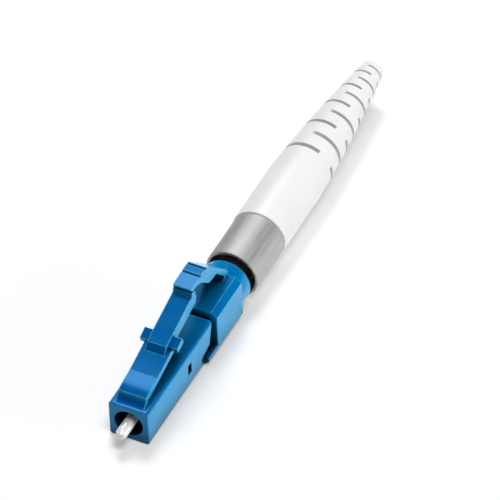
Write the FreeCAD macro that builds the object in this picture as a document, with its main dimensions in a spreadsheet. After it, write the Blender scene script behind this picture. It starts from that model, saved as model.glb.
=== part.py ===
import FreeCAD, Part
import math
import os
import re
import Sketcher

# Simplex small-form-factor fibre plug. The fibre axis is Y, the ferrule points to -Y, the latch is on top (+Z).
# The origin is on the fibre axis in the plane of the front housing's face.

Vector = FreeCAD.Vector

document = FreeCAD.newDocument("FibrePlug")
sheet = document.addObject("Spreadsheet::Sheet", "Sizes")

# Driving sizes in millimetres and degrees.
sizes = {
    # front housing
    "bodyWidth": 4.52,
    "bodyLength": 15.25,
    "bodyCornerRound": 0.35,
    "bodyEdgeRound": 0.12,
    "tenonWidth": 4.1,
    "tenonLength": 3.4,
    "noseBore": 3.25,
    "noseBoreDepth": 2.5,
    "noseBoreChamfer": 0.05,
    "webThickness": 0.8,
    "webBore": 1.9,
    "springBore": 2.9,
    "windowSetback": 9.15,
    "windowLength": 0.8,
    "windowHeight": 1.4,
    "windowRise": 0.1,
    "seamDepth": 0.46,
    "seamTop": 0.45,
    "seamFoot": 1.15,
    "seamFootRise": 1.0,
    "cradleGap": 0.8,
    "cradleRise": 0.35,
    # latch and its root on the front housing
    "latchWidth": 3.2,
    "latchRootSetback": 1.1,
    "latchRootRise": 1.0,
    "latchPivotSetback": 1.9,
    "latchPivotRise": 0.78,
    "latchKnuckle": 0.8,
    "latchAngle": 15.5,
    "latchSkin": 0.22,
    "latchLugStart": 5.65,
    "latchLugLength": 1.3,
    "latchLugSpan": 4.3,
    "latchLugTop": 0.6,
    "latchLugFall": 0.12,
    "latchLugDrop": 0.14,
    "beamWidth": 2.2,
    "beamStart": 4.6,
    "beamRamp": 0.75,
    "beamTop": 0.88,
    "beamDrop": 0.65,
    "lipLength": 0.72,
    "lipHeight": 0.46,
    "lipFall": 0.14,
    "latchEndRound": 0.2,
    "latchLap": 0.58,
    # rear housing
    "rearLength": 5.95,
    "rearWidth": 5.3,
    "rearTop": 2.88,
    "rearBottom": 2.65,
    "rearTopChamferWidth": 0.75,
    "rearTopChamferDrop": 0.52,
    "rearBottomChamfer": 0.65,
    "rearEdgeRound": 0.12,
    "cradleReach": 2.15,
    "cradleTop": 1.45,
    "neckDiameter": 5.32,
    "neckLength": 1.9,
    "neckRound": 0.15,
    # trigger and its root on the rear housing
    "triggerWidth": 2.14,
    "triggerPivotInset": 0.7,
    "triggerPivotRise": 0.84,
    "triggerKnuckle": 0.7,
    "triggerRootFoot": 0.35,
    "triggerRootEase": 0.1,
    "triggerArmAngle": 43.0,
    "thumbCover": 0.653,
    "thumbBack": 4.1,
    "thumbLength": 3.5,
    "thumbThickness": 0.64,
    "thumbTipThickness": 0.3,
    "thumbTipFall": 0.17,
    "thumbTipLean": 0.06,
    "thumbRamp": 2.3,
    "elbowForward": 3.34,
    "elbowRise": 1.78,
    "elbowLength": 1.25,
    "elbowFall": 0.12,
    "elbowEase": 0.5,
    "elbowEaseRise": 0.16,
    "elbowBack": 0.2,
    "ribSpacing": 1.22,
    "ribSetback": 0.4,
    "ribGrooveWidth": 0.34,
    "ribGrooveDepth": 0.2,
    # ferrule, its flange and the fibre tube
    "ferruleDiameter": 1.249,
    "ferruleLength": 6.5,
    "ferruleReach": 2.0,
    "ferruleTipChamfer": 0.16,
    "ferruleTipLength": 0.35,
    "fibreBore": 0.126,
    "fibreFunnel": 0.5,
    "fibreFunnelLength": 0.7,
    "flangeAcrossFlats": 2.4,
    "flangeLength": 1.4,
    "hubDiameter": 1.8,
    "hubLength": 1.6,
    "tubeDiameter": 0.9,
    "tubeBore": 0.5,
    "tubeLength": 12.4,
    # spring
    "springWire": 0.3,
    "springDiameter": 2.6,
    "springTurns": 9,
    # crimp body behind the spring
    "stopInset": 4.2,
    "crimpBodyBore": 1.9,
    "collarDiameter": 4.1,
    "collarLength": 1.0,
    "spigotDiameter": 3.5,
    "spigotLength": 13.3,
    "knurlRings": 8,
    "knurlPitch": 0.55,
    "knurlWidth": 0.22,
    "knurlDepth": 0.12,
    "knurlInset": 0.8,
    # crimp sleeve
    "sleeveGap": 0.86,
    "sleeveDiameter": 6.0,
    "sleeveLength": 6.5,
    "sleeveWall": 0.28,
    "sleeveMouthDepth": 2.6,
    "sleeveEdgeRound": 0.12,
    "sleeveTailDiameter": 5.0,
    "sleeveTailLength": 5.5,
    # boot
    "bootDiameter": 6.24,
    "bootLength": 28.35,
    "bootStraight": 9.0,
    "bootTipDiameter": 2.56,
    "bootBow": 235.0,
    "bootEdgeRound": 0.14,
    "bootTipRound": 0.2,
    "bootTurn": 53.0,
    "cableBore": 1.7,
    "cableBoreLength": 7.0,
    "bootThroat": 4.0,
    "slotCount": 10,
    "slotFirst": 11.7,
    "slotPitch": 2.3,
    "slotPitchLoss": 0.14,
    "slotShare": 0.23,
    "slotArcWide": 138.0,
    "slotArcShort": 116.0,
    "slotCore": 0.2,
    # clearances, and how far a cut runs past the piece
    "hingeGap": 0.04,
    "seatGap": 0.02,
    "pressGap": 0.03,
    "overrun": 1.0,
}
for row, (alias, number) in enumerate(sizes.items(), start=1):
    sheet.set(f"A{row}", alias)
    sheet.set(f"B{row}", str(number))
    sheet.setAlias(f"B{row}", alias)
document.recompute()

# Places along the plug, as formulas of the driving sizes.
bodyHalf = "bodyWidth / 2"
webStart = "noseBoreDepth"
webEnd = f"({webStart} + webThickness)"
rearFace = "(bodyLength + rearLength)"
tenonEnd = "(bodyLength + tenonLength)"
neckEnd = f"({rearFace} + neckLength)"
flangeFront = f"({webEnd} + seatGap)"
flangeBack = f"({flangeFront} + flangeLength)"
hubEnd = f"({flangeBack} + hubLength)"
ferruleEnd = "(ferruleLength - ferruleReach)"
stopFace = f"({tenonEnd} - stopInset)"
collarStart = f"({tenonEnd} + seatGap)"
collarEnd = f"({collarStart} + collarLength)"
spigotEnd = f"({collarEnd} + spigotLength)"
sleeveStart = f"({neckEnd} + sleeveGap)"
sleeveShoulder = f"({sleeveStart} + sleeveLength)"
sleeveEnd = f"({sleeveShoulder} + sleeveTailLength)"
bootStart = f"({sleeveShoulder} + seatGap)"
bootEnd = f"({bootStart} + bootLength)"
latchPivotHeight = f"({bodyHalf} + latchPivotRise)"
triggerPivotPlace = f"({rearFace} - triggerPivotInset)"
triggerPivotHeight = "(rearTop + triggerPivotRise)"

# The latch's end lies under the trigger's thumb pad, so its length follows from the pad's place,
# and the pad's height follows from the latch's end.
thumbFront = "(-thumbBack - thumbLength)"
latchEndTop = "(beamTop + lipHeight - lipFall)"
latchRun = f"({triggerPivotPlace} + {thumbFront} + latchLap - latchPivotSetback)"
latchReach = f"(({latchRun} + {latchEndTop} * sin(latchAngle * 1deg)) / cos(latchAngle * 1deg))"
latchEndHeight = (f"({latchPivotHeight} + {latchReach} * sin(latchAngle * 1deg)"
                  f" + {latchEndTop} * cos(latchAngle * 1deg))")
thumbHeight = f"({latchEndHeight} + thumbCover - {triggerPivotHeight})"

word = re.compile(r"[A-Za-z]\w*")


def linked(formula):
    """The formula with each size's name turned into a reference to its sheet cell."""
    return word.sub(lambda m: "Sizes." + m.group() if m.group() in sizes else m.group(), formula)


def value(formula):
    return float(sheet.evalExpression(linked(formula)))


def newBody(label):
    body = document.addObject("PartDesign::Body", label)
    body.Label = label
    return body


def originPlane(body, role):
    return next(plane for plane in body.Origin.OriginFeatures if plane.Role == role)


def newSketch(body, name, role, offset):
    sketch = body.newObject("Sketcher::SketchObject", name)
    sketch.AttachmentSupport = (originPlane(body, role), [""])
    sketch.MapMode = "FlatFace"
    if offset:
        sketch.setExpression("AttachmentOffset.Base.z", linked(offset))
    return sketch


def pin(sketch, geometry, point, formulas):
    """Fixes a point of the sketch at two formulas, measured from the sketch's origin."""
    for formula, direction, axis in zip(formulas, ("DistanceX", "DistanceY"), (-2, -1)):
        if formula == "0":
            sketch.addConstraint(Sketcher.Constraint("PointOnObject", geometry, point, axis))
        else:
            spot = Sketcher.Constraint(direction, -1, 1, geometry, point, value(formula))
            number = sketch.addConstraint(spot)
            sketch.setExpression(f"Constraints[{number}]", linked(formula))


def arcBetween(start, end, radius):
    """The short arc from start to end; a positive radius turns left, a negative one right."""
    chord = end - start
    rise = math.sqrt(max(radius * radius - chord.Length ** 2 / 4, 0))
    side = Vector(-chord.y, chord.x, 0).normalize() * math.copysign(1, radius)
    centre = (start + end) * 0.5 + side * rise
    middle = centre - side * abs(radius)
    return Part.Arc(start, middle, end)


def outline(body, name, role, corners, offset=None):
    """A closed outline. A corner is (x, y), or (x, y, radius) where an arc arrives at it."""
    sketch = newSketch(body, name, role, offset)
    spots = [Vector(value(corner[0]), value(corner[1]), 0) for corner in corners]
    ends = []
    for index, corner in enumerate(corners):
        start, end = spots[index - 1], spots[index]
        if len(corner) == 2:
            sketch.addGeometry(Part.LineSegment(start, end))
            ends.append((1, 2))
        else:
            radius = value(corner[2])
            sketch.addGeometry(arcBetween(start, end, radius))
            ends.append((1, 2) if radius > 0 else (2, 1))
    for index, corner in enumerate(corners):
        following = (index + 1) % len(corners)
        joint = Sketcher.Constraint("Coincident", index, ends[index][1], following, ends[following][0])
        sketch.addConstraint(joint)
        pin(sketch, index, ends[index][1], corner[:2])
        if len(corner) == 3:
            number = sketch.addConstraint(Sketcher.Constraint("Radius", index, abs(value(corner[2]))))
            sketch.setExpression(f"Constraints[{number}]", linked(f"abs({corner[2]})"))
    return sketch


def disc(body, name, role, diameter, offset=None, centre=("0", "0")):
    sketch = newSketch(body, name, role, offset)
    spot = Vector(value(centre[0]), value(centre[1]), 0)
    sketch.addGeometry(Part.Circle(spot, Vector(0, 0, 1), value(diameter) / 2))
    pin(sketch, 0, 3, centre)
    number = sketch.addConstraint(Sketcher.Constraint("Diameter", 0, value(diameter)))
    sketch.setExpression(f"Constraints[{number}]", linked(diameter))
    return sketch


def grow(body, name, sketch, length, kind="Pad", bothSides=False, reverse=False):
    """A Pad or a Pocket of the sketch, its length bound to a formula."""
    feature = body.newObject(f"PartDesign::{kind}", name)
    feature.Profile = sketch
    feature.SideType = "Symmetric" if bothSides else "One side"
    feature.Reversed = reverse
    feature.setExpression("Length", linked(length))
    document.recompute()
    return feature


def turn(body, name, sketch, kind="Revolution", angle="360"):
    """A Revolution or a Groove of the sketch about the fibre axis."""
    feature = body.newObject(f"PartDesign::{kind}", name)
    feature.Profile = sketch
    feature.ReferenceAxis = (sketch, ["V_Axis"])
    feature.Midplane = True
    feature.setExpression("Angle", linked(angle))
    document.recompute()
    return feature


def soften(body, name, radius, chosen):
    """A Fillet on those edges of the body that the test accepts."""
    base = body.Tip
    edges = [f"Edge{i}" for i, edge in enumerate(base.Shape.Edges, start=1) if chosen(edge)]
    if not edges:
        raise ValueError(f"{name}: no edge found")
    feature = body.newObject("PartDesign::Fillet", name)
    feature.Base = (base, edges)
    feature.setExpression("Radius", linked(radius))
    document.recompute()
    return feature


def near(first, second):
    return abs(first - second) < 0.001


def middleOf(edge):
    return edge.valueAt((edge.FirstParameter + edge.LastParameter) / 2)


def runsAlong(edge, axis):
    if not isinstance(edge.Curve, Part.Line):
        return False
    start, end = (vertex.Point for vertex in edge.Vertexes)
    return (end - start).getAngle(axis) < 0.01 or (start - end).getAngle(axis) < 0.01


alongX, alongY = Vector(1, 0, 0), Vector(0, 1, 0)


def inPlaneY(edge, place):
    return all(near(vertex.Point.y, place) for vertex in edge.Vertexes) and near(middleOf(edge).y, place)


def squareCorners(half):
    return [(f"-{half}", f"-{half}"), (half, f"-{half}"), (half, half), (f"-{half}", half)]


def arcPoint(centre, radius, angle):
    """A point at an angle on a circle, as two formulas; the angle runs from +Y towards +Z."""
    return (f"{centre[0]} + {radius} * cos({angle})", f"{centre[1]} + {radius} * sin({angle})")


# Front housing: a square shell with the ferrule's bore, a web that stops the flange, and the spring's bore.

frontHousing = newBody("front_housing")
section = outline(frontHousing, "shellSection", "XZ_Plane", squareCorners("bodyWidth / 2"))
grow(frontHousing, "shell", section, "bodyLength", reverse=True)
soften(frontHousing, "shellCorners", "bodyCornerRound", lambda edge: runsAlong(edge, alongY))
soften(frontHousing, "shellFaceEdge", "bodyEdgeRound", lambda edge: inPlaneY(edge, 0))

section = outline(frontHousing, "tenonSection", "XZ_Plane", squareCorners("tenonWidth / 2"), "-bodyLength")
grow(frontHousing, "tenon", section, "tenonLength", reverse=True)

# The latch's root: its front rises from the housing's top in a hollow curve, and its back is a seat
# for the latch's round end.
seatRadius = "(latchKnuckle / 2 + hingeGap)"
latchPivot = ("latchPivotSetback", latchPivotHeight)
seatUpper = arcPoint(latchPivot, seatRadius, "110")
seatLower = arcPoint(latchPivot, seatRadius, "215")
section = outline(frontHousing, "latchRootSection", "YZ_Plane", [
    ("latchRootSetback - latchRootRise", f"{bodyHalf} - bodyCornerRound"),
    (seatLower[0], f"{bodyHalf} - bodyCornerRound"),
    seatLower,
    (*seatUpper, f"-{seatRadius}"),
    ("latchRootSetback", f"{bodyHalf} + latchRootRise"),
    ("latchRootSetback - latchRootRise", bodyHalf, "-latchRootRise"),
])
grow(frontHousing, "latchRoot", section, "latchWidth", bothSides=True)

section = outline(frontHousing, "boreSection", "XY_Plane", [
    ("0", "-noseBoreChamfer"),
    ("noseBore / 2 + 2 * noseBoreChamfer", "-noseBoreChamfer"),
    ("noseBore / 2", "noseBoreChamfer"),
    ("noseBore / 2", webStart),
    ("webBore / 2", webStart),
    ("webBore / 2", webEnd),
    ("springBore / 2", webEnd),
    ("springBore / 2", f"{tenonEnd} + overrun"),
    ("0", f"{tenonEnd} + overrun"),
])
turn(frontHousing, "bores", section, "Groove")

section = outline(frontHousing, "windowSection", "YZ_Plane", [
    ("windowSetback", "windowRise - windowHeight / 2"),
    ("windowSetback + windowLength", "windowRise - windowHeight / 2"),
    ("windowSetback + windowLength", "windowRise + windowHeight / 2"),
    ("windowSetback", "windowRise + windowHeight / 2"),
])
grow(frontHousing, "windows", section, "bodyWidth + overrun", "Pocket", bothSides=True)

# An open seam runs round its back end, ahead of the rear housing, and steps forward above the cradle.
seamFloor = "(bodyWidth / 2 - seamDepth)"
seamStart = "(bodyLength - seamTop)"
section = outline(frontHousing, "topSeamSection", "YZ_Plane", [
    (seamStart, seamFloor),
    ("bodyLength", seamFloor),
    ("bodyLength", f"{bodyHalf} + overrun"),
    (seamStart, f"{bodyHalf} + overrun"),
])
grow(frontHousing, "topSeam", section, "bodyWidth + overrun", "Pocket", bothSides=True)
cradleGapStart = "(bodyLength - cradleReach - cradleGap)"
for side, place, outward in (("Left", f"-{seamFloor}", False), ("Right", seamFloor, True)):
    section = outline(frontHousing, f"seamSection{side}", "YZ_Plane", [
        (cradleGapStart, f"-{seamFloor}"),
        ("bodyLength", f"-{seamFloor}"),
        ("bodyLength", f"{bodyHalf} + overrun"),
        (seamStart, f"{bodyHalf} + overrun"),
        (seamStart, bodyHalf),
        ("bodyLength - seamFoot", "seamFootRise - cradleTop"),
        (cradleGapStart, "cradleRise - cradleTop"),
    ], place)
    grow(frontHousing, f"seam{side}", section, "seamDepth + overrun", "Pocket", reverse=outward)

# Latch: a wide thin arm as far as the lugs, then a deeper beam that ends in a raised lip.
# Its own frame is at the pivot, with Y along the arm.

latchLever = newBody("latch_lever")
knuckle = disc(latchLever, "knuckleSection", "YZ_Plane", "latchKnuckle")
grow(latchLever, "knuckle", knuckle, "latchWidth", bothSides=True)
lugEnd = "(latchLugStart + latchLugLength)"
section = outline(latchLever, "armSection", "YZ_Plane", [
    ("0", "-latchKnuckle / 2"),
    (lugEnd, "-latchKnuckle / 2"),
    (lugEnd, "latchSkin"),
    ("2.5 * latchKnuckle", "latchSkin"),
    ("0", "latchKnuckle / 2"),
])
grow(latchLever, "arm", section, "latchWidth", bothSides=True)
section = outline(latchLever, "beamSection", "YZ_Plane", [
    ("beamStart", "-latchKnuckle / 2"),
    ("beamStart + beamRamp", "-beamDrop"),
    (f"{latchReach} - lipLength / 2", "-beamDrop"),
    (latchReach, "0"),
    (latchReach, latchEndTop),
    (f"{latchReach} - 5 * lipLength / 6", "beamTop + lipHeight"),
    (f"{latchReach} - lipLength", "beamTop"),
    ("beamStart + beamRamp", "beamTop"),
    ("beamStart", "latchSkin"),
])
grow(latchLever, "beam", section, "beamWidth", bothSides=True)
section = outline(latchLever, "lugSection", "YZ_Plane", [
    ("latchLugStart", "-latchLugDrop"),
    (lugEnd, "-latchLugDrop"),
    (lugEnd, "latchLugTop"),
    ("latchLugStart", "latchLugTop - latchLugFall"),
])
grow(latchLever, "lugs", section, "latchLugSpan", bothSides=True)
soften(latchLever, "endRound", "latchEndRound",
       lambda edge: runsAlong(edge, alongX) and near(middleOf(edge).y, value(latchReach)))
latchLever.Placement.Rotation = FreeCAD.Rotation(alongX, value("latchAngle"))
latchLever.setExpression("Placement.Rotation.Angle", linked("latchAngle"))
latchLever.setExpression("Placement.Base.y", linked("latchPivotSetback"))
latchLever.setExpression("Placement.Base.z", linked(latchPivotHeight))

# Rear housing: chamfered section with a socket for the tenon, a collar's recess and a round neck.

rearHousing = newBody("rear_housing")
rearHalf = "rearWidth / 2"
section = outline(rearHousing, "rearSection", "XZ_Plane", [
    (f"-({rearHalf} - rearBottomChamfer)", "-rearBottom"),
    (f"{rearHalf} - rearBottomChamfer", "-rearBottom"),
    (rearHalf, "-(rearBottom - rearBottomChamfer)"),
    (rearHalf, "rearTop - rearTopChamferDrop"),
    (f"{rearHalf} - rearTopChamferWidth", "rearTop"),
    (f"-({rearHalf} - rearTopChamferWidth)", "rearTop"),
    (f"-({rearHalf})", "rearTop - rearTopChamferDrop"),
    (f"-({rearHalf})", "-(rearBottom - rearBottomChamfer)"),
], "-bodyLength")
grow(rearHousing, "rearShell", section, "rearLength", reverse=True)
soften(rearHousing, "rearShellEdges", "rearEdgeRound",
       lambda edge: inPlaneY(edge, value("bodyLength")) or inPlaneY(edge, value(rearFace)))
neck = disc(rearHousing, "neckSection", "XZ_Plane", "neckDiameter", f"-{rearFace} + rearEdgeRound")
grow(rearHousing, "neck", neck, "neckLength + rearEdgeRound", reverse=True)
soften(rearHousing, "neckEdge", "neckRound", lambda edge: inPlaneY(edge, value(neckEnd)))

# Its lower part reaches forward and wraps the front housing's bottom and lower sides.
section = outline(rearHousing, "cradleSection", "XZ_Plane", [
    (f"-({rearHalf} - rearBottomChamfer)", "-rearBottom"),
    (f"{rearHalf} - rearBottomChamfer", "-rearBottom"),
    (rearHalf, "-(rearBottom - rearBottomChamfer)"),
    (rearHalf, "-cradleTop"),
    (f"-({rearHalf})", "-cradleTop"),
    (f"-({rearHalf})", "-(rearBottom - rearBottomChamfer)"),
], "-bodyLength - rearEdgeRound")
grow(rearHousing, "cradle", section, "cradleReach + rearEdgeRound")
section = outline(rearHousing, "cradleCutSection", "XZ_Plane", squareCorners("(bodyWidth / 2 + pressGap)"),
                  "-bodyLength")
grow(rearHousing, "cradleCut", section, "cradleReach + overrun", "Pocket", reverse=True)

triggerPivot = (triggerPivotPlace, triggerPivotHeight)
seatRadius = "(triggerKnuckle / 2 + hingeGap)"
seatFront = arcPoint(triggerPivot, seatRadius, "235")
seatBack = arcPoint(triggerPivot, seatRadius, "335")
section = outline(rearHousing, "triggerRootSection", "YZ_Plane", [
    (f"{seatFront[0]} - triggerRootFoot", "rearTop - rearEdgeRound"),
    (f"{rearFace} - rearEdgeRound", "rearTop - rearEdgeRound"),
    (f"{rearFace} - rearEdgeRound", f"{seatBack[1]} - triggerRootEase"),
    (f"{rearFace} - rearEdgeRound - triggerRootEase", seatBack[1]),
    seatBack,
    (*seatFront, f"-{seatRadius}"),
])
grow(rearHousing, "triggerRoot", section, "triggerWidth", bothSides=True)

socketWidth = "(tenonWidth / 2 + pressGap)"
section = outline(rearHousing, "socketSection", "XZ_Plane", squareCorners(socketWidth), "-bodyLength + overrun")
grow(rearHousing, "socket", section, "tenonLength + seatGap + overrun", "Pocket", reverse=False)
section = outline(rearHousing, "rearBoreSection", "XY_Plane", [
    ("0", "bodyLength"),
    ("collarDiameter / 2 + pressGap", "bodyLength"),
    ("collarDiameter / 2 + pressGap", f"{collarEnd} + seatGap"),
    ("spigotDiameter / 2 + pressGap", f"{collarEnd} + seatGap"),
    ("spigotDiameter / 2 + pressGap", f"{neckEnd} + overrun"),
    ("0", f"{neckEnd} + overrun"),
])
turn(rearHousing, "rearBore", section, "Groove")

# Trigger: an arm that rises forward from the rear housing to a ribbed thumb pad over the latch's end.
# Its own frame is at the pivot, and -Y is forward.

triggerLever = newBody("trigger_lever")
knuckle = disc(triggerLever, "triggerKnuckleSection", "YZ_Plane", "triggerKnuckle")
grow(triggerLever, "triggerKnuckleRound", knuckle, "triggerWidth", bothSides=True)
across = arcPoint(("0", "0"), "triggerKnuckle / 2", "90 - triggerArmAngle")
section = outline(triggerLever, "triggerSection", "YZ_Plane", [
    across,
    ("-thumbBack", thumbHeight),
    (f"{thumbFront} + thumbRamp", thumbHeight),
    (thumbFront, f"{thumbHeight} - thumbTipFall"),
    (f"{thumbFront} + thumbTipLean", f"{thumbHeight} - thumbTipFall - thumbTipThickness"),
    (f"{thumbFront} + 0.55 * thumbRamp", f"{thumbHeight} - thumbThickness"),
    (f"{thumbFront} + 0.85 * thumbRamp", f"{thumbHeight} - 1.4 * thumbThickness"),
    (f"{thumbFront} + 1.15 * thumbRamp", f"{thumbHeight} - 2.15 * thumbThickness"),
    ("-elbowForward - elbowEase", "elbowRise + elbowEaseRise"),
    ("-elbowForward", "elbowRise"),
    ("-elbowForward + elbowLength", "elbowRise - elbowFall"),
    ("-elbowForward + elbowLength + elbowBack", "elbowRise - 2 * elbowFall"),
    (f"-({across[0]})", f"-({across[1]})"),
])
grow(triggerLever, "triggerArm", section, "triggerWidth", bothSides=True)
for rib in range(2):
    middle = f"(-thumbBack - ribSetback + ribGrooveWidth / 2 - {rib} * ribSpacing)"
    section = outline(triggerLever, f"ribSection{rib}", "YZ_Plane", [
        (f"{middle} - ribGrooveWidth / 2", f"{thumbHeight} + overrun"),
        (f"{middle} - ribGrooveWidth / 2", f"{thumbHeight} - ribGrooveDepth"),
        (f"{middle} + ribGrooveWidth / 2", f"{thumbHeight} - ribGrooveDepth / 2"),
        (f"{middle} + ribGrooveWidth / 2", f"{thumbHeight} + overrun"),
    ])
    grow(triggerLever, f"ribGroove{rib}", section, "triggerWidth + overrun", "Pocket", bothSides=True)
triggerLever.setExpression("Placement.Base.y", linked(triggerPivotPlace))
triggerLever.setExpression("Placement.Base.z", linked(triggerPivotHeight))

# Ferrule: a ceramic pin with a tapered tip, the fibre's fine bore and a funnel behind.

ferrule = newBody("ferrule")
section = outline(ferrule, "ferruleSection", "XY_Plane", [
    ("fibreBore / 2", "-ferruleReach"),
    ("ferruleDiameter / 2 - ferruleTipChamfer", "-ferruleReach"),
    ("ferruleDiameter / 2", "ferruleTipLength - ferruleReach"),
    ("ferruleDiameter / 2", ferruleEnd),
    ("fibreFunnel / 2", ferruleEnd),
    ("fibreBore / 2", f"{ferruleEnd} - fibreFunnelLength"),
])
turn(ferrule, "ferruleTurned", section)

# Flange: a six-sided collar pressed on the ferrule, with a hub that carries the spring and the fibre tube.

flange = newBody("ferrule_flange")
hexSide = "flangeAcrossFlats / sqrt(3)"
section = outline(flange, "hexSection", "XZ_Plane", [
    (f"{hexSide} / 2", "-flangeAcrossFlats / 2"),
    (hexSide, "0"),
    (f"{hexSide} / 2", "flangeAcrossFlats / 2"),
    (f"-{hexSide} / 2", "flangeAcrossFlats / 2"),
    (f"-{hexSide}", "0"),
    (f"-{hexSide} / 2", "-flangeAcrossFlats / 2"),
], f"-{flangeFront}")
grow(flange, "hexCollar", section, "flangeLength", reverse=True)
hub = disc(flange, "hubSection", "XZ_Plane", "hubDiameter", f"-{flangeBack}")
grow(flange, "hub", hub, "hubLength", reverse=True)
section = outline(flange, "flangeBoreSection", "XY_Plane", [
    ("0", f"{flangeFront} - overrun"),
    ("ferruleDiameter / 2", f"{flangeFront} - overrun"),
    ("ferruleDiameter / 2", ferruleEnd),
    ("tubeDiameter / 2", ferruleEnd),
    ("tubeDiameter / 2", f"{hubEnd} + overrun"),
    ("0", f"{hubEnd} + overrun"),
])
turn(flange, "flangeBore", section, "Groove")

# Fibre tube: starts behind the ferrule and runs through the spring into the crimp body.

fibreTube = newBody("fibre_tube")
section = outline(fibreTube, "tubeSection", "XY_Plane", [
    ("tubeBore / 2", ferruleEnd),
    ("tubeDiameter / 2", ferruleEnd),
    ("tubeDiameter / 2", f"{ferruleEnd} + tubeLength"),
    ("tubeBore / 2", f"{ferruleEnd} + tubeLength"),
])
turn(fibreTube, "tubeTurned", section)

# Crimp body: stops the spring, is held by its collar and ends in a ringed spigot for the crimp sleeve.

crimpBody = newBody("crimp_body")
section = outline(crimpBody, "crimpBodySection", "XY_Plane", [
    ("crimpBodyBore / 2", stopFace),
    ("springBore / 2 - pressGap", stopFace),
    ("springBore / 2 - pressGap", collarStart),
    ("collarDiameter / 2", collarStart),
    ("collarDiameter / 2", collarEnd),
    ("spigotDiameter / 2", collarEnd),
    ("spigotDiameter / 2", spigotEnd),
    ("crimpBodyBore / 2", spigotEnd),
])
turn(crimpBody, "crimpBodyTurned", section)
for ring in range(sizes["knurlRings"]):
    ringPlace = f"({spigotEnd} - knurlInset - {ring} * knurlPitch)"
    section = outline(crimpBody, f"ringSection{ring}", "XY_Plane", [
        ("spigotDiameter / 2 - knurlDepth", f"{ringPlace} - knurlWidth / 2"),
        ("spigotDiameter / 2 + overrun", f"{ringPlace} - knurlWidth / 2"),
        ("spigotDiameter / 2 + overrun", f"{ringPlace} + knurlWidth / 2"),
        ("spigotDiameter / 2 - knurlDepth", f"{ringPlace} + knurlWidth / 2"),
    ])
    turn(crimpBody, f"ringGroove{ring}", section, "Groove")

# Crimp sleeve: a wide open mouth behind the neck, and a narrower tail that the boot slides over.

crimpSleeve = newBody("crimp_sleeve")
section = outline(crimpSleeve, "sleeveSection", "XY_Plane", [
    ("sleeveDiameter / 2 - sleeveWall", sleeveStart),
    ("sleeveDiameter / 2", sleeveStart),
    ("sleeveDiameter / 2", sleeveShoulder),
    ("sleeveTailDiameter / 2", sleeveShoulder),
    ("sleeveTailDiameter / 2", sleeveEnd),
    ("spigotDiameter / 2 + pressGap", sleeveEnd),
    ("spigotDiameter / 2 + pressGap", f"{sleeveStart} + sleeveMouthDepth"),
    ("sleeveDiameter / 2 - sleeveWall", f"{sleeveStart} + sleeveMouthDepth"),
])
turn(crimpSleeve, "sleeveTurned", section)
soften(crimpSleeve, "sleeveRim", "sleeveEdgeRound",
       lambda edge: isinstance(edge.Curve, Part.Circle) and near(edge.Curve.Radius, value("sleeveDiameter / 2")))

# Boot: straight over the sleeve's tail, then tapering; pairs of slots on alternate sides let it bend.
# Its own frame is turned about the fibre axis, as it was pushed on.

boot = newBody("boot")
taperStart = f"({bootStart} + bootStraight)"
throatEnd = f"({bootEnd} - cableBoreLength)"
section = outline(boot, "bootSection", "XY_Plane", [
    ("sleeveTailDiameter / 2 + pressGap", bootStart),
    ("bootDiameter / 2", bootStart),
    ("bootDiameter / 2", taperStart),
    ("bootTipDiameter / 2", bootEnd, "bootBow"),
    ("cableBore / 2", bootEnd),
    ("cableBore / 2", throatEnd),
    ("bootThroat / 2", f"{sleeveEnd} + seatGap"),
    ("sleeveTailDiameter / 2 + pressGap", f"{sleeveEnd} + seatGap"),
])
turn(boot, "bootTurned", section)
soften(boot, "bootFrontEdge", "bootEdgeRound", lambda edge: isinstance(edge.Curve, Part.Circle)
       and inPlaneY(edge, value(bootStart)) and near(edge.Curve.Radius, value("bootDiameter / 2")))
soften(boot, "bootTipEdge", "bootTipRound", lambda edge: isinstance(edge.Curve, Part.Circle)
       and inPlaneY(edge, value(bootEnd)) and near(edge.Curve.Radius, value("bootTipDiameter / 2")))
for slot in range(sizes["slotCount"]):
    pitch = f"(slotPitch - {slot} * slotPitchLoss)"
    place = f"({bootStart} + slotFirst + {slot} * slotPitch - {slot * (slot - 1) // 2} * slotPitchLoss)"
    low = f"{place} - slotShare * {pitch} / 2"
    high = f"{place} + slotShare * {pitch} / 2"
    role = "XY_Plane" if slot % 2 == 0 else "YZ_Plane"
    for side, sign in (("Left", "-"), ("Right", "")):
        if role == "XY_Plane":
            corners = [(f"{sign}slotCore", low), (f"{sign}bootDiameter", low),
                       (f"{sign}bootDiameter", high), (f"{sign}slotCore", high)]
        else:
            corners = [(low, f"{sign}slotCore"), (low, f"{sign}bootDiameter"),
                       (high, f"{sign}bootDiameter"), (high, f"{sign}slotCore")]
        section = outline(boot, f"slotSection{slot}{side}", role, corners)
        cut = turn(boot, f"slot{slot}{side}", section, "Groove",
                   "slotArcWide" if role == "XY_Plane" else "slotArcShort")
        if role == "YZ_Plane":
            cut.ReferenceAxis = (section, ["H_Axis"])
boot.Placement.Rotation = FreeCAD.Rotation(alongY, value("bootTurn"))
boot.setExpression("Placement.Rotation.Angle", linked("bootTurn"))

# Spring: round wire in a plain coil between the flange and the crimp body.

coilStart = f"({flangeBack} + springWire / 2 + seatGap)"
coilEnd = f"({stopFace} - springWire / 2 - seatGap)"
spring = newBody("spring")
wire = disc(spring, "wireSection", "XY_Plane", "springWire",
            centre=("(springDiameter - springWire) / 2", coilStart))
coil = spring.newObject("PartDesign::AdditiveHelix", "coil")
coil.Profile = wire
coil.ReferenceAxis = (wire, ["V_Axis"])
coil.Mode = "height-turns-angle"
coil.setExpression("Height", linked(f"{coilEnd} - {coilStart}"))
coil.setExpression("Turns", linked("springTurns"))

document.recompute()

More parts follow.
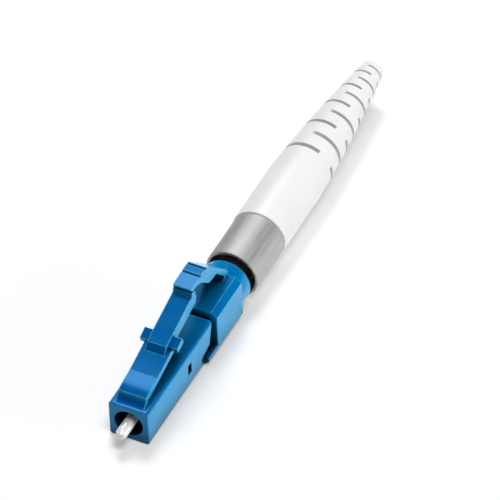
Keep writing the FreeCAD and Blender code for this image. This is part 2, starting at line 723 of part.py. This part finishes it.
failed = [item.Name for item in document.Objects if {"Invalid", "Error"} & set(item.State)]
if failed:
    raise RuntimeError(f"failed: {failed}")
subparts = [frontHousing, latchLever, rearHousing, triggerLever, ferrule, flange,
            fibreTube, spring, crimpBody, crimpSleeve, boot]
for subpart in subparts:
    shape = subpart.Shape
    if shape.isNull() or not shape.isValid() or len(shape.Solids) != 1:
        raise RuntimeError(f"{subpart.Label}: {len(shape.Solids)} solids, valid {shape.isValid()}")
os.makedirs("parts", exist_ok=True)
for subpart in subparts:
    subpart.Shape.exportStep(f"parts/{subpart.Label}.step")
    box = subpart.Shape.BoundBox
    print(f"{subpart.Label}: {subpart.Shape.Volume:.3f} mm3, "
          f"y {box.YMin:.2f}..{box.YMax:.2f}, z {box.ZMin:.2f}..{box.ZMax:.2f}")
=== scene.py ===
import math

import bmesh
import bpy
from mathutils import Matrix, Vector


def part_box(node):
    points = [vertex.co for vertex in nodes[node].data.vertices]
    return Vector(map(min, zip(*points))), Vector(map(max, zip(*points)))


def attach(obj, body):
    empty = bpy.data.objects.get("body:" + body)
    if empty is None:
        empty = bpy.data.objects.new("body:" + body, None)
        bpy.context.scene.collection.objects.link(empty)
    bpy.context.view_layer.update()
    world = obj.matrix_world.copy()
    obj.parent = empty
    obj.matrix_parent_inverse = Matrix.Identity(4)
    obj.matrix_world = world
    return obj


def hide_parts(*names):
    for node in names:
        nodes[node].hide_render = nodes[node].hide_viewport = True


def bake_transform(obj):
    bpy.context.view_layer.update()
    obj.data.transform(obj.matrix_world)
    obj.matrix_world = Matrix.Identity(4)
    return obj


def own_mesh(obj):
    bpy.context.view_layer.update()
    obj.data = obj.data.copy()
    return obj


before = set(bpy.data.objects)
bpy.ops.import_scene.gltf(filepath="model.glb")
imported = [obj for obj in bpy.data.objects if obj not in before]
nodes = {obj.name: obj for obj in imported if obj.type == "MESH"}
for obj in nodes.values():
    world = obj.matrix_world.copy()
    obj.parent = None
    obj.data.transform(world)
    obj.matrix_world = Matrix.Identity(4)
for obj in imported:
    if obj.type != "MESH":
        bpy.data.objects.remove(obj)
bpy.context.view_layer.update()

mm = 0.001
creaseDegrees = 28
noiseSpread = (0.3, 0.7)  # where most of a noise texture's values lie
waveTurn = 2 * math.pi / 20  # how far apart a wave texture's bands are at scale 1


def hexColour(code):
    # sRGB hex to the linear values that Blender works in
    channels = [int(code[i:i + 2], 16) / 255 for i in (1, 3, 5)]
    linear = [c / 12.92 if c <= 0.04045 else ((c + 0.055) / 1.055) ** 2.4 for c in channels]
    return (*linear, 1.0)


def repeats(sizeMm):
    # how many times a pattern of this size in millimetres repeats in one metre
    return 1 / (sizeMm * mm)


def addNode(tree, kind, settings=None, inputs=None):
    # one node, with its settings, its input values and its incoming links
    node = tree.nodes.new(kind)
    for name, value in (settings or {}).items():
        setattr(node, name, value)
    for name, value in (inputs or {}).items():
        if isinstance(value, bpy.types.NodeSocket):
            tree.links.new(value, node.inputs[name])
        else:
            node.inputs[name].default_value = value
    return node


def addPlace(tree, alongScale=1.0):
    # a point's place on its piece, in metres, scaled along the fibre axis
    place = addNode(tree, "ShaderNodeTexCoord").outputs["Object"]
    if alongScale == 1.0:
        return place
    return addNode(tree, "ShaderNodeMapping", None, {"Vector": place, "Scale": (1.0, alongScale, 1.0)}).outputs[0]


def addNoise(tree, place, scale, detail=2.0, roughness=0.5):
    noise = addNode(tree, "ShaderNodeTexNoise", None, {"Vector": place, "Scale": scale, "Detail": detail,
                    "Roughness": roughness})
    return noise.outputs["Fac"]


def addRange(tree, value, known, wanted):
    node = addNode(tree, "ShaderNodeMapRange", None, {"Value": value, "From Min": known[0], "From Max": known[1],
                   "To Min": wanted[0], "To Max": wanted[1]})
    return node.outputs["Result"]


def addMath(tree, operation, first, second):
    return addNode(tree, "ShaderNodeMath", {"operation": operation}, {0: first, 1: second}).outputs[0]


def mixColours(tree, share, first, second):
    # a Mix node keeps its colours on sockets 6 and 7, and its colour result on output 2
    first, second = (hexColour(c) if isinstance(c, str) else c for c in (first, second))
    return addNode(tree, "ShaderNodeMix", {"data_type": "RGBA"}, {0: share, 6: first, 7: second}).outputs[2]


def roundEdges(tree, radiusMm):
    return addNode(tree, "ShaderNodeBevel", {"samples": 6}, {"Radius": radiusMm * mm}).outputs["Normal"]


def addBump(tree, height, heightMm, strength, normal=None):
    inputs = {"Strength": strength, "Distance": heightMm * mm, "Height": height}
    if normal is not None:
        inputs["Normal"] = normal
    return addNode(tree, "ShaderNodeBump", None, inputs).outputs["Normal"]


def startMaterial(name):
    material = bpy.data.materials.new(name)
    material.use_nodes = True
    material.node_tree.nodes.clear()
    return material, material.node_tree


def finishMaterial(tree, inputs):
    shader = addNode(tree, "ShaderNodeBsdfPrincipled", None, inputs)
    addNode(tree, "ShaderNodeOutputMaterial", None, {"Surface": shader.outputs["BSDF"]})


# Glass-filled PBT, injection moulded in a polished tool: deep blue, with a painted cyan sheen on faces seen at a
# slant, painted shade that goes near black in its recesses, and a painted thin highlight along each outer edge.
def makeHousingPlastic():
    look = {"dark": "#003A84", "light": "#004896", "sheenDark": "#00AAE4", "sheenLight": "#00BEF4", "slant": 0.5,
            "glint": "#1678B4", "edge": "#6CDCFC", "edgeMm": 0.12, "edgeTurn": 0.92, "recessMm": 4.0,
            "recessSpread": (0.3, 0.9), "recessLow": 0.06, "flowMm": 3.0, "grainMm": 0.12, "grainHeightMm": 0.0015,
            "rough": (0.15, 0.22)}
    material, tree = startMaterial("pbtMouldedBlue")
    place = addPlace(tree)
    flow = addNoise(tree, place, repeats(look["flowMm"]), detail=3.0, roughness=0.45)
    grain = addNoise(tree, place, repeats(look["grainMm"]))
    rounded = roundEdges(tree, look["edgeMm"])
    face = mixColours(tree, flow, look["dark"], look["light"])
    # painted sheen: faces seen at a slant get a lighter cyan, standing in for the light on the lit sides
    paintedSheen = mixColours(tree, flow, look["sheenDark"], look["sheenLight"])
    slant = addNode(tree, "ShaderNodeLayerWeight", None, {"Blend": look["slant"], "Normal": rounded})
    colour = mixColours(tree, slant.outputs["Facing"], face, paintedSheen)
    # painted shade: the colour darkens towards near black where other surfaces are close, in recesses, creases and
    # under the levers
    recessOcclusion = addNode(tree, "ShaderNodeAmbientOcclusion", {"samples": 8}, {"Distance": look["recessMm"] * mm})
    paintedRecessShade = addRange(tree, recessOcclusion.outputs["AO"], look["recessSpread"], (look["recessLow"], 1.0))
    # painted highlight: a light cyan line along open outer edges, where the rounded normal turns away from the true
    # one
    surface = addNode(tree, "ShaderNodeNewGeometry")
    turned = addNode(tree, "ShaderNodeVectorMath", {"operation": "DOT_PRODUCT"},
                     {0: rounded, 1: surface.outputs["Normal"]})
    edgeHighlightShare = addRange(tree, turned.outputs["Value"], (1.0, look["edgeTurn"]), (0.0, 1.0))
    withEdgeHighlight = mixColours(tree, addMath(tree, "MULTIPLY", edgeHighlightShare, paintedRecessShade), colour, look["edge"])
    shaded = addNode(tree, "ShaderNodeHueSaturation", None, {"Color": withEdgeHighlight, "Value": paintedRecessShade})
    finishMaterial(tree, {"Base Color": shaded.outputs["Color"], "IOR": 1.5,
                          "Roughness": addRange(tree, flow, noiseSpread, look["rough"]),
                          "Specular Tint": hexColour(look["glint"]),
                          "Normal": addBump(tree, grain, look["grainHeightMm"], 0.35, rounded)})
    return material


# Zirconia, ground and polished: clean warm white with a hard, glassy shine.
def makeFerruleCeramic():
    look = {"white": "#F4F0EE", "shade": "#E9E4E2", "grindMm": 0.08, "squeeze": 12.0, "grindHeightMm": 0.0006}
    material, tree = startMaterial("zirconiaPolished")
    place = addPlace(tree, alongScale=look["squeeze"])
    grind = addNoise(tree, place, repeats(look["grindMm"]) / look["squeeze"])
    finishMaterial(tree, {"Base Color": mixColours(tree, grind, look["white"], look["shade"]), "Roughness": 0.14,
                          "IOR": 2.1, "Normal": addBump(tree, grind, look["grindHeightMm"], 0.3)})
    return material


# Aluminium tube, drawn and tumbled: light grey and satin, with streaks along its length.
def makeSleeveMetal():
    look = {"dark": "#A0A0A0", "light": "#D0D0CF", "streakMm": 0.35, "stretch": 14.0, "rough": (0.6, 0.72),
            "streakHeightMm": 0.003}
    material, tree = startMaterial("aluminiumDrawnSatin")
    place = addPlace(tree, alongScale=1 / look["stretch"])
    streak = addNoise(tree, place, repeats(look["streakMm"]), detail=4.0, roughness=0.6)
    finishMaterial(tree, {"Base Color": mixColours(tree, streak, look["dark"], look["light"]), "Metallic": 1.0,
                          "Roughness": addRange(tree, streak, noiseSpread, look["rough"]),
                          "Normal": addBump(tree, streak, look["streakHeightMm"], 0.4)})
    return material


# Soft PVC, moulded: bright white and slightly waxy, with a fine matt grain.
def makeBootVinyl():
    look = {"white": "#EDEDEC", "shade": "#E2E2E1", "cloudMm": 4.0, "grainMm": 0.15, "grainHeightMm": 0.004,
            "edgeMm": 0.06}
    material, tree = startMaterial("pvcMouldedWhite")
    place = addPlace(tree)
    cloud = addNoise(tree, place, repeats(look["cloudMm"]), detail=3.0)
    grain = addNoise(tree, place, repeats(look["grainMm"]))
    rounded = roundEdges(tree, look["edgeMm"])
    finishMaterial(tree, {"Base Color": mixColours(tree, cloud, look["white"], look["shade"]), "Roughness": 0.42,
                          "IOR": 1.53, "Normal": addBump(tree, grain, look["grainHeightMm"], 0.3, rounded)})
    return material


# Brass under nickel, turned: warm silver with rings from the lathe.
def makeTurnedNickel():
    look = {"dark": "#A69F90", "light": "#C8C2B4", "ringMm": 0.754, "ringHeightMm": 0.002}
    material, tree = startMaterial("brassTurnedNickelled")
    wave = addNode(tree, "ShaderNodeTexWave", {"wave_type": "BANDS", "bands_direction": "Y"},
                   {"Vector": addPlace(tree), "Scale": repeats(look["ringMm"]) * waveTurn, "Distortion": 1.5,
                    "Detail": 2.0})
    rings = wave.outputs["Fac"]
    finishMaterial(tree, {"Base Color": mixColours(tree, rings, look["dark"], look["light"]), "Metallic": 1.0,
                          "Roughness": 0.3, "Normal": addBump(tree, rings, look["ringHeightMm"], 0.4)})
    return material


# Stainless spring wire, cold drawn: bright grey with fine cloudy marks from the die.
def makeSpringSteel():
    look = {"dark": "#8E8F92", "light": "#B7B8BA", "markMm": 0.06}
    material, tree = startMaterial("stainlessDrawnWire")
    marks = addNoise(tree, addPlace(tree), repeats(look["markMm"]))
    finishMaterial(tree, {"Base Color": mixColours(tree, marks, look["dark"], look["light"]), "Metallic": 1.0,
                          "Roughness": 0.25})
    return material


# PTFE tube, extruded: milky white and waxy.
def makeTubePlastic():
    look = {"white": "#E8E6DF", "shade": "#DAD8D0", "cloudMm": 0.6}
    material, tree = startMaterial("ptfeExtruded")
    cloud = addNoise(tree, addPlace(tree), repeats(look["cloudMm"]))
    finishMaterial(tree, {"Base Color": mixColours(tree, cloud, look["white"], look["shade"]), "Roughness": 0.5,
                          "IOR": 1.38})
    return material


# Seamless paper: near-white, matt, and kept white behind the object while it still takes the shadow.
def makePaper():
    look = {"white": "#EDEDED", "lift": 0.18, "liftStrength": 1.6}
    material, tree = startMaterial("paperMatt")
    path = addNode(tree, "ShaderNodeLightPath")
    cameraOrGloss = addMath(tree, "MAXIMUM", path.outputs["Is Camera Ray"], path.outputs["Is Glossy Ray"])
    seen = addMath(tree, "MAXIMUM", cameraOrGloss, path.outputs["Is Transmission Ray"])
    share = addMath(tree, "MULTIPLY", seen, look["lift"])
    plain = addNode(tree, "ShaderNodeBsdfDiffuse", None, {"Color": hexColour(look["white"])})
    lift = addNode(tree, "ShaderNodeEmission", None, {"Strength": look["liftStrength"]})
    mixed = addNode(tree, "ShaderNodeMixShader", None, {0: share, 1: plain.outputs["BSDF"],
                    2: lift.outputs["Emission"]})
    addNode(tree, "ShaderNodeOutputMaterial", None, {"Surface": mixed.outputs["Shader"]})
    return material


housingPlastic = makeHousingPlastic()
ferruleCeramic = makeFerruleCeramic()
sleeveMetal = makeSleeveMetal()
bootVinyl = makeBootVinyl()
turnedNickel = makeTurnedNickel()
springSteel = makeSpringSteel()
tubePlastic = makeTubePlastic()
paper = makePaper()
print("materials made")


def addPiece(mesh, name, material):
    # smooth faces, with the creases kept sharp
    mesh.polygons.foreach_set("use_smooth", [True] * len(mesh.polygons))
    mesh.set_sharp_from_angle(angle=math.radians(creaseDegrees))
    mesh.materials.append(material)
    piece = bpy.data.objects.new(name, mesh)
    bpy.context.scene.collection.objects.link(piece)
    return piece


def dressNode(node, pieceName, body, material):
    # a clean, smooth-shaded piece in place of a faceted node, with the triangles of each flat face joined up
    size = {"mergeMm": 0.0002, "flatDegrees": 0.3}
    shape = bmesh.new()
    shape.from_mesh(nodes[node].data)
    bmesh.ops.remove_doubles(shape, verts=shape.verts, dist=size["mergeMm"] * mm)
    bmesh.ops.dissolve_limit(shape, angle_limit=math.radians(size["flatDegrees"]), verts=shape.verts,
                             edges=shape.edges)
    bmesh.ops.recalc_face_normals(shape, faces=shape.faces)
    corners = [vertex.co.copy() for vertex in shape.verts]
    shape.verts.index_update()
    faces = [[vertex.index for vertex in face.verts] for face in shape.faces]
    shape.free()
    mesh = bpy.data.meshes.new(pieceName)
    mesh.from_pydata(corners, [], faces)
    piece = addPiece(mesh, pieceName, material)
    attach(piece, body)
    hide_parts(node)
    return piece


dressNode("front_housing", "frontShell", "plug", housingPlastic)
dressNode("rear_housing", "rearShell", "plug", housingPlastic)
dressNode("latch_lever", "latchArm", "latch", housingPlastic)
dressNode("trigger_lever", "triggerArm", "trigger", housingPlastic)
dressNode("ferrule", "ferrulePin", "ferrule_set", ferruleCeramic)
dressNode("crimp_sleeve", "crimpRing", "plug", sleeveMetal)
dressNode("boot", "reliefBoot", "plug", bootVinyl)


# The latch and the front housing are one moulding, so a thin skin runs over the bend at the latch's root.
def makeRootSkin():
    size = {"halfWidth": 1.59, "thickness": 0.05, "strips": 12,
            "top": [(1.11, 3.27), (1.3, 3.33), (1.5, 3.392), (1.75, 3.464), (2.0, 3.521), (2.3, 3.575), (2.7, 3.634),
                    (3.1, 3.692), (3.5, 3.75), (3.74, 3.785), (4.0, 3.82)]}
    ring = size["top"] + [(y, z - size["thickness"]) for y, z in reversed(size["top"])]
    count, strips = len(ring), size["strips"]
    corners = []
    for strip in range(strips + 1):
        x = size["halfWidth"] * (2 * strip / strips - 1)
        corners += [(x * mm, y * mm, z * mm) for y, z in ring]
    faces = []
    for strip in range(strips):
        here, there = strip * count, (strip + 1) * count
        faces += [(here + i, here + (i + 1) % count, there + (i + 1) % count, there + i) for i in range(count)]
    faces += [tuple(range(count)), tuple(reversed(range(strips * count, (strips + 1) * count)))]
    mesh = bpy.data.meshes.new("rootSkin")
    mesh.from_pydata(corners, [], faces)
    shape = bmesh.new()
    shape.from_mesh(mesh)
    bmesh.ops.recalc_face_normals(shape, faces=shape.faces)
    shape.to_mesh(mesh)
    shape.free()
    piece = addPiece(mesh, "rootSkin", housingPlastic)
    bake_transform(piece)


makeRootSkin()


# In the plug the ferrule pushes the spring's front end back and its rear end rests on the crimp body; here the
# spring is only made a smooth-shaded piece with a mesh of its own.
def makeCoilSpring():
    piece = dressNode("spring", "coilSpring", "plug", springSteel)
    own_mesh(piece)


makeCoilSpring()

for node, material in (("ferrule_flange", turnedNickel), ("crimp_body", turnedNickel), ("fibre_tube", tubePlastic)):
    nodes[node].data.materials.clear()
    nodes[node].data.materials.append(material)
print("pieces dressed")


# The plug lies on the front housing's lower front edge and the crimp sleeve's front rim, so the paper slopes
# under it, and is level ahead of it and behind it.
def makeFloor():
    size = {"halfWidth": 1.2, "slopeFrom": -8 * mm, "slopeTo": 75 * mm, "sink": 0.01 * mm}
    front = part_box("front_housing")[0]
    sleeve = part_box("crimp_sleeve")[0]
    slope = (sleeve.z - front.z) / (sleeve.y - front.y)
    half = size["halfWidth"]
    corners = []
    for y in (-half, size["slopeFrom"], size["slopeTo"], half):
        under = min(max(y, size["slopeFrom"]), size["slopeTo"])
        height = front.z - size["sink"] + slope * (under - front.y)
        corners += [(-half, y, height), (half, y, height)]
    faces = [(i, i + 1, i + 3, i + 2) for i in (0, 2, 4)]
    mesh = bpy.data.meshes.new("floor")
    mesh.from_pydata(corners, [], faces)
    mesh.materials.append(paper)
    floor = bpy.data.objects.new("floor", mesh)
    bpy.context.scene.collection.objects.link(floor)


makeFloor()


def backwards(turn, height):
    # the way from the plug to something that looks at it, from its turn about Z and its height, in radians
    return Vector((math.sin(turn) * math.cos(height), -math.cos(turn) * math.cos(height), math.sin(height)))


# Where the camera stands: its turn, height and roll about the origin in degrees, and in millimetres its distance
# and how far the frame is shifted.
def makeCamera():
    view = {"turn": 27.39, "height": 44.25, "roll": -2.02, "distance": 600.0, "right": 12.41, "up": 17.75,
            "lens": 422.5, "sensor": 36.0, "near": 10, "far": 20000}
    turn, height, roll = (math.radians(view[k]) for k in ("turn", "height", "roll"))
    back = backwards(turn, height)
    right = Vector((math.cos(turn), math.sin(turn), 0))
    up = back.cross(right)
    sideways = right * math.cos(roll) + up * math.sin(roll)
    upwards = up * math.cos(roll) - right * math.sin(roll)
    place = (sideways * view["right"] + upwards * view["up"] + back * view["distance"]) * mm
    data = bpy.data.cameras.new("camera")
    data.lens = view["lens"]
    data.sensor_width = view["sensor"]
    data.clip_start = view["near"] * mm
    data.clip_end = view["far"] * mm
    camera = bpy.data.objects.new("camera", data)
    bpy.context.scene.collection.objects.link(camera)
    axes = Matrix((sideways, upwards, back)).transposed().to_4x4()
    camera.matrix_world = Matrix.Translation(place) @ axes
    bpy.context.scene.camera = camera


makeCamera()


# Soft boxes, each a square panel that looks at the plug's middle: turn and height in degrees, side in metres and
# power in watts.
def addLamp(name, turn, height, side, power):
    size = {"distance": 0.6, "middle": 22 * mm}
    back = backwards(math.radians(turn), math.radians(height))
    data = bpy.data.lights.new(name, "AREA")
    data.shape = "SQUARE"
    data.size = side
    data.energy = power
    lamp = bpy.data.objects.new(name, data)
    bpy.context.scene.collection.objects.link(lamp)
    lamp.location = Vector((0, size["middle"], 0)) + back * size["distance"]
    lamp.rotation_euler = back.to_track_quat("Z", "Y").to_euler()


addLamp("keyBox", turn=-150, height=60, side=0.22, power=2.2)
addLamp("topBox", turn=60, height=72, side=0.18, power=1.35)
addLamp("sideBox", turn=95, height=8, side=0.2, power=1.55)


# The room's light: faint on the plug, and white where the camera looks past the paper.
def makeWorld():
    look = {"light": "#FFFFFF", "strength": 0.15, "seenStrength": 1.0}
    world = bpy.data.worlds.new("studio")
    world.use_nodes = True
    tree = world.node_tree
    tree.nodes.clear()
    path = addNode(tree, "ShaderNodeLightPath")
    level = addRange(tree, path.outputs["Is Camera Ray"], (0.0, 1.0), (look["strength"], look["seenStrength"]))
    glow = addNode(tree, "ShaderNodeBackground", None, {"Color": hexColour(look["light"]), "Strength": level})
    addNode(tree, "ShaderNodeOutputWorld", None, {"Surface": glow.outputs["Background"]})
    bpy.context.scene.world = world


makeWorld()
bpy.context.scene.view_settings.view_transform = "Standard"
print("stage, camera and lamps set")
